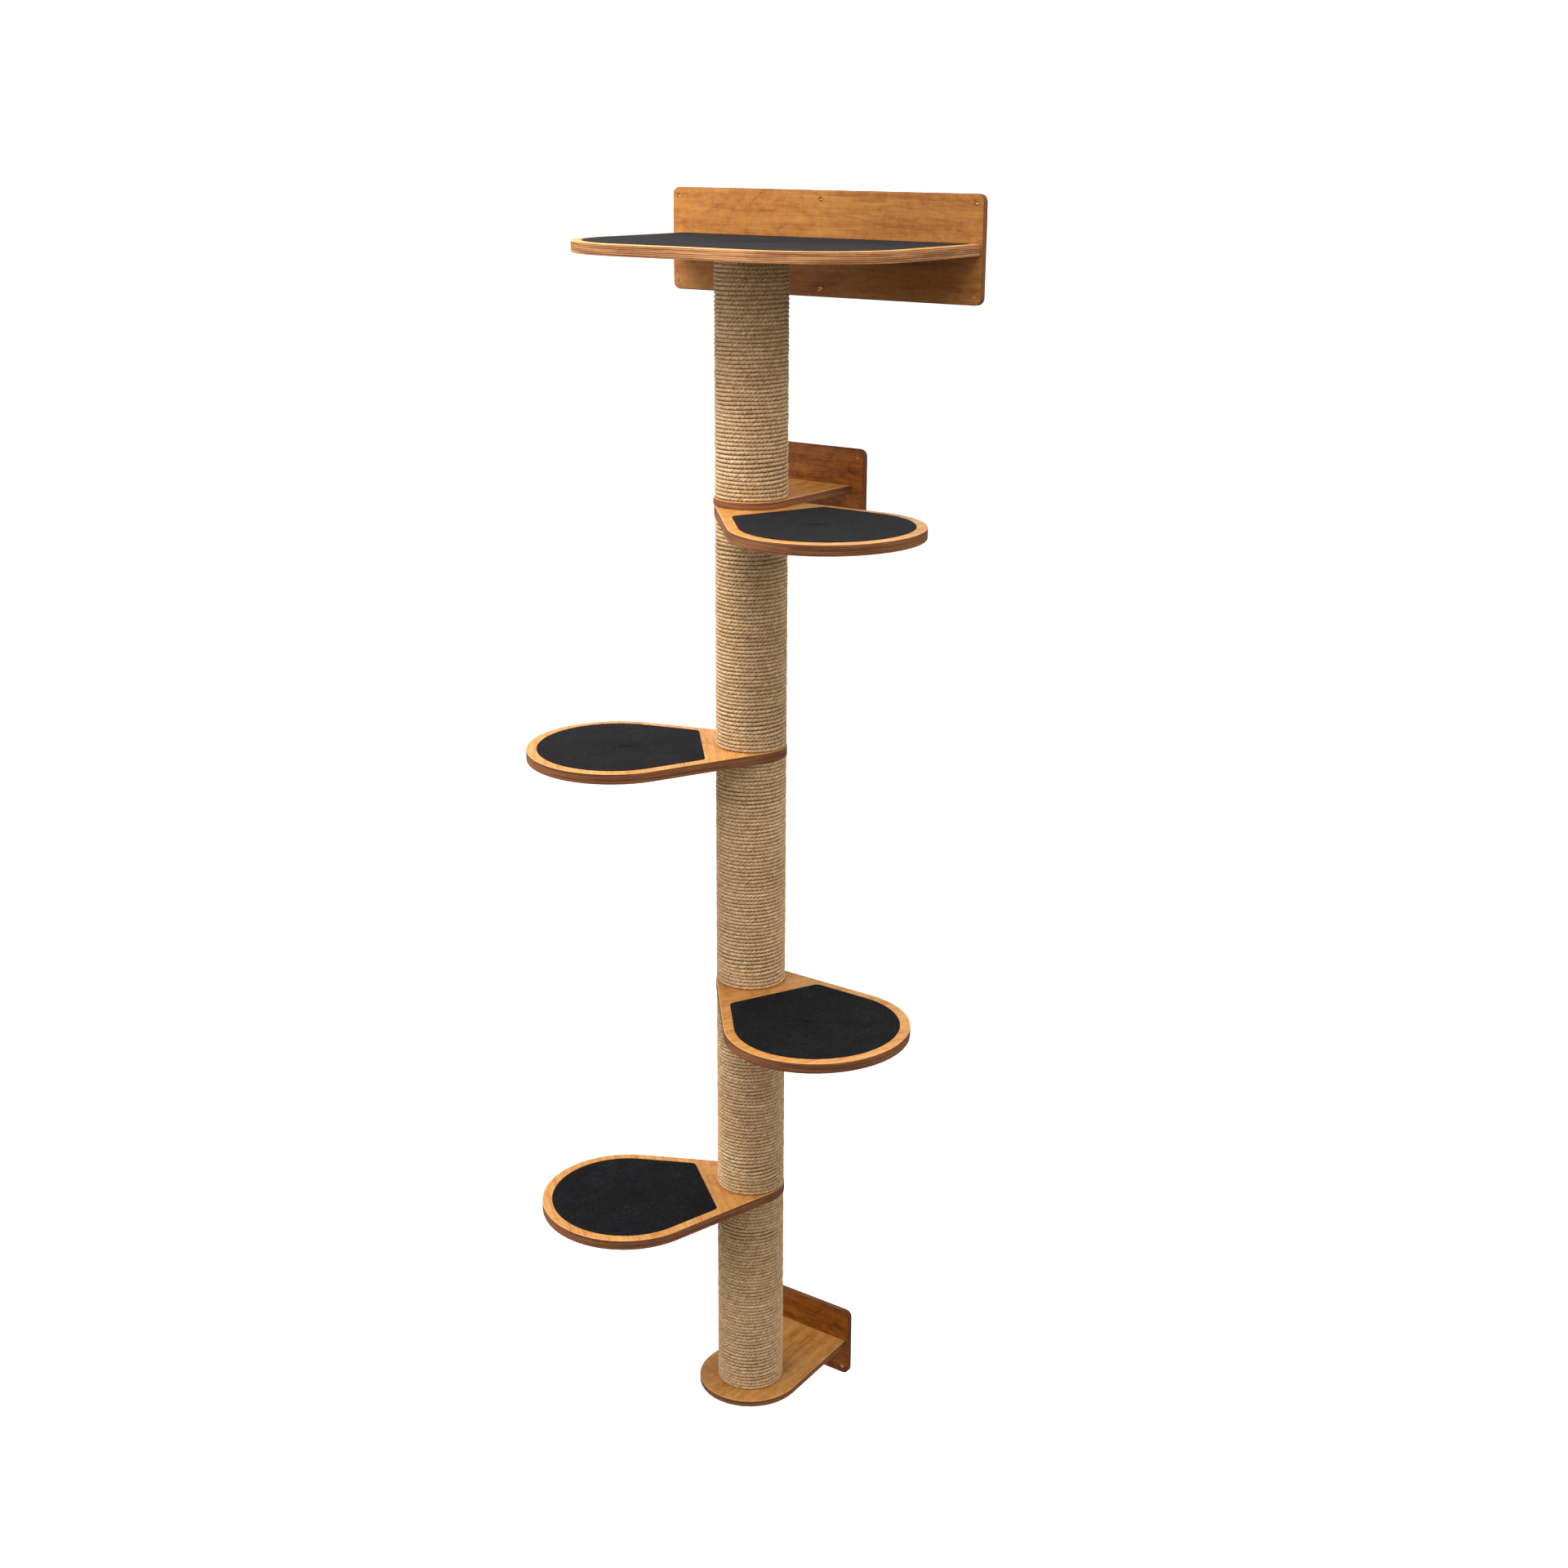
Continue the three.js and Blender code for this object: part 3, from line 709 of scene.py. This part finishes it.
def rope_winding(number, material):
    """The rope round one section of the post, from board to board."""
    name = f"rope_winding_{number}"
    low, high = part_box(f"post_{number}_rope")
    centre = (low + high) / 2
    winding = (high.x - low.x) / 2 - ROPE_RADIUS
    bottom, top = low.z + ROPE_HALF_HEIGHT, high.z - ROPE_HALF_HEIGHT
    turns = round((top - bottom) / (2 * ROPE_RADIUS))
    length = 2 * math.pi * winding * turns
    rings = round(length / STRAND_LAY * RINGS_PER_LAY)

    draw = np.random.default_rng(SEED + number)
    angle, height, out = wound_path(draw, bottom, top, winding, turns, rings)
    around = STRANDS * POINTS_PER_STRAND
    spoke = 2 * math.pi * np.arange(around) / around
    twist = 2 * math.pi * np.linspace(0, length / STRAND_LAY, rings)
    section = spoke[None, :] + twist[:, None]
    outline = 1 - STRAND_GROOVE * (1 - np.abs(np.cos(STRANDS / 2 * spoke)))
    radius = rope_thickness(draw, angle, height)[:, None] * outline[None, :]
    radius = radius * (1 + FIBRE_UNEVEN * draw.normal(0, 1, radius.shape))
    reach = out[:, None] + radius * np.cos(section)
    points = np.stack([
        centre.x + reach * np.cos(angle)[:, None],
        centre.y + reach * np.sin(angle)[:, None],
        height[:, None] + radius * np.sin(section) * ROPE_HALF_HEIGHT / ROPE_RADIUS,
    ], -1).reshape(-1, 3)
    faces = ring_quads(rings, around)[:, ::-1]
    caps = [list(range(around)), list(range((rings - 1) * around, rings * around))[::-1]]
    piece = new_piece(name, new_mesh(name, points, faces.tolist() + caps, material, smooth=True))

    map_rope(piece, around, np.linspace(0, length, rings), len(faces))
    outward = piece.data.attributes.new("outward", "FLOAT", "POINT")
    outward.data.foreach_set("value", np.clip(np.cos(section), 0, 1).ravel())
    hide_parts(f"post_{number}_rope")
    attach(piece, "frame")


# ----------------------------------------------------------------------------------------------- carpets

def top_outline(node):
    """The outline of a CAD node's flat top, in order round it."""
    points = np.array([v.co for v in NODES[node].data.vertices])
    top = points[points[:, 2] > points[:, 2].max() - JOINED][:, :2]
    top = np.unique(np.round(top / JOINED) * JOINED, axis=0)
    middle = (top.min(0) + top.max(0)) / 2
    order = np.argsort(np.arctan2(top[:, 1] - middle[1], top[:, 0] - middle[0]))
    return top[order]


def even_outline(corners, spacing, soften):
    """The same outline with evenly spaced points and slightly softened corners."""
    closed = np.vstack([corners, corners[:1]])
    lengths = np.concatenate([[0], np.cumsum(np.linalg.norm(np.diff(closed, axis=0), axis=1))])
    count = round(lengths[-1] / spacing)
    at = np.linspace(0, lengths[-1], count, endpoint=False)
    even = np.stack([np.interp(at, lengths, closed[:, k]) for k in (0, 1)], -1)
    wrapped = np.vstack([even[-soften:], even, even[:soften]])
    kernel = np.hanning(2 * soften + 3)[1:-1]
    kernel /= kernel.sum()
    return np.stack([np.convolve(wrapped[:, k], kernel, "valid") for k in (0, 1)], -1)


def felt_sheet(name, outline, bottom, top, material):
    """A felt sheet with a rounded edge and a slightly uneven pile. Its rings of points go up the edge, and on
    the top they shrink to the middle."""
    middle = (outline.min(0) + outline.max(0)) / 2
    reach = np.linalg.norm(outline - middle, axis=1)
    around = len(outline)
    outwards = (outline - middle) / reach[:, None]

    bend = np.linspace(0, math.pi / 2, CARPET_ROUND_STEPS + 1)
    insets = [0.5 * CARPET_ROUND, 0.0, *(CARPET_ROUND * (1 - np.cos(bend)))]
    heights = [bottom, bottom + 0.5 * CARPET_ROUND, *(top - CARPET_ROUND * (1 - np.sin(bend)))]
    edge = [(middle + outwards * (reach - inset)[:, None], z) for inset, z in zip(insets, heights)]
    rings = round(reach.min() / CARPET_STEP)
    flat = [(middle + (edge[-1][0] - middle) * (1 - k / rings), top) for k in range(1, rings)]

    draw = np.random.default_rng(SEED)
    points = []
    for k, (ring, z) in enumerate(edge + flat):
        rise = np.zeros(around)
        if k >= len(edge) - 1:
            rise = -PILE_UNEVEN * draw.uniform(0, 1, around)
        points.append(np.column_stack([ring, z + rise]))
    points.append([[*middle, top], [*middle, bottom]])
    points = np.vstack(points)
    count = len(edge) + len(flat)
    faces = ring_quads(count, around).tolist()
    crown, under = count * around, count * around + 1
    last = (count - 1) * around
    for k in range(around):
        faces.append((last + k, last + (k + 1) % around, crown))
        faces.append(((k + 1) % around, k, under))
    return new_piece(name, new_mesh(name, points, faces, material, smooth=True))


def carpet(node, body, material):
    """A carpet inlay."""
    low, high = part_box(node)
    outline = even_outline(top_outline(node), CARPET_STEP, CARPET_SOFTENED)
    piece = felt_sheet(f"{node}_felt", outline, low.z, high.z, material)
    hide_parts(node)
    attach(piece, body)


# ------------------------------------------------------------------------------------------------ screws

def screw_mesh(name, length, shank, head, material):
    """A countersunk wood screw that points down, with its head's top at z = 0 and a cross recess."""
    core = shank * (1 - THREAD_DEPTH)
    thread_top = head - shank + PLAIN_SHANK
    step = THREAD_PITCH / THREAD_STEPS
    spokes = 2 * math.pi * np.arange(SCREW_SIDES) / SCREW_SIDES

    def ring(radius, z):
        return np.column_stack([radius * np.cos(spokes), radius * np.sin(spokes), np.full(SCREW_SIDES, z)])

    cross = RECESS_WAIST + (1 - RECESS_WAIST) * np.abs(np.cos(2 * spokes)) ** RECESS_SHARPNESS
    points = [ring(share * head * cross, -depth * RECESS_DEPTH) for share, depth in RECESS_SLOPE]
    top = [(HEAD_FLAT * head, 0.0), (head, -HEAD_CHAMFER), (shank, shank - head), (shank, step - thread_top)]
    points += [ring(radius, z) for radius, z in top]
    for z in np.arange(thread_top, length - step, step):
        phase = (z / THREAD_PITCH + spokes / (2 * math.pi)) % 1
        ridge = np.clip(1 - np.abs(phase - 0.5) * 2 / THREAD_WIDTH, 0, 1)
        taper = np.clip((length - z) / (POINT_LENGTH * shank), 0, 1)
        points.append(ring((core + (shank - core) * ridge) * taper, -z))
    count = len(points)
    points.append([[0, 0, -RECESS_DEPTH], [0, 0, -length]])
    points = np.vstack(points)
    faces = [f[::-1] for f in ring_quads(count, SCREW_SIDES).tolist()]
    inner, tip = count * SCREW_SIDES, count * SCREW_SIDES + 1
    last = (count - 1) * SCREW_SIDES
    for k in range(SCREW_SIDES):
        following = (k + 1) % SCREW_SIDES
        faces.append((k, following, inner))
        faces.append((last + following, last + k, tip))
    return new_mesh(name, points, faces, material, smooth=True)


def place_screws(kind, material, into_wall):
    """A detailed screw in the place of each CAD screw whose name holds kind. Wall screws point into the wall,
    and the others away from it."""
    names = sorted(n for n in NODES if f"_{kind}_screw_" in n)
    low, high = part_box(names[0])
    head = (high.x - low.x) / 2
    mesh = screw_mesh(f"{kind}_screw", high.y - low.y, head * SHANK_SHARES[kind], head, material)
    draw = np.random.default_rng(SEED)
    for name in names:
        low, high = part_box(name)
        centre = (low + high) / 2
        top = low.y if into_wall else high.y
        piece = new_piece(f"{name}_detail", mesh)
        point_away = Matrix.Rotation(math.radians(90 if into_wall else -90), 4, "X")
        driven = Matrix.Rotation(draw.uniform(0, math.pi / 2), 4, "Z")
        piece.matrix_world = Matrix.Translation((centre.x, top, centre.z)) @ point_away @ driven
        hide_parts(name)
        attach(piece, "frame")


# ----------------------------------------------------------------------------------------------- assembly

def board_looks(smoothing):
    """Gives every board a plywood of its own, with the grain along it or across it."""
    _, post_y = post_axis()
    upwards, forwards = (0.0, 0.0, 1.0), (0.0, -1.0, 0.0)
    for joint in STEP_NAMES:
        board = f"{joint}_board"
        low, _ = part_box(board)
        turn = STEP_TURNS[joint] + GRAIN_ACROSS
        material = plywood(board, (0, post_y, low.z), (0, 0, turn), upwards, "step")
        finish_node(board, material, smoothing)
    level = (("top_shelf", 0, "shelf"), ("middle_arm", 90, "step"), ("base_board", 90, "step"))
    for board, turn, wood in level:
        low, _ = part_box(board)
        material = plywood(board, (GRAIN_START, post_y, low.z), (0, 0, turn), upwards, wood)
        finish_node(board, material, smoothing)
    for bracket, wood in (("top", "top_plate"), ("middle", "shaded_small_plate"), ("base", "shaded_small_plate")):
        board = f"{bracket}_wall_plate"
        low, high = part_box(board)
        material = plywood(board, (low.x, high.y, low.z), (90, 0, 0), forwards, wood)
        finish_node(board, material, smoothing)


def step_turn(name):
    """The direction that a step points in, in degrees from +X, from where its board lies about the post."""
    points = np.array([v.co for v in NODES[f"{name}_board"].data.vertices])[:, :2]
    away = points - post_axis()
    distance = np.linalg.norm(away, axis=1)
    x, y = away[distance > FAR_END * distance.max()].mean(0)
    return math.degrees(math.atan2(y, x))


STEP_NAMES = [f"step_{k + 1}" for k in range(STEPS)]
STEP_TURNS = {name: step_turn(name) for name in STEP_NAMES}

make_camera()
make_lights()
make_floor()
bpy.context.scene.view_settings.view_transform = "Standard"

smoothing = smoothing_group()
board_looks(smoothing)
rope_material = jute()
for number in range(1, SECTIONS + 1):
    rope_winding(number, rope_material)

felt = felt_carpet()
for name in STEP_NAMES:
    carpet(f"{name}_carpet", name, felt)
carpet("top_shelf_carpet", "frame", felt)

bronze = metal("bronzed_steel", BRONZE_TONES, rough_low=0.35, rough_high=0.55)
zinc = metal("zinc_steel", ZINC_TONES, rough_low=0.25, rough_high=0.45)
place_screws("wall", bronze, into_wall=True)
place_screws("bracket", zinc, into_wall=False)

tube_material, plug_material = cardboard(), plug_wood()
for name in sorted(NODES):
    if name.endswith("_tube"):
        finish_node(name, tube_material, smoothing)
    elif name.endswith("_plug"):
        finish_node(name, plug_material, smoothing)
    elif name.startswith("stud_") or name.endswith("_bolt"):
        finish_node(name, zinc, smoothing)
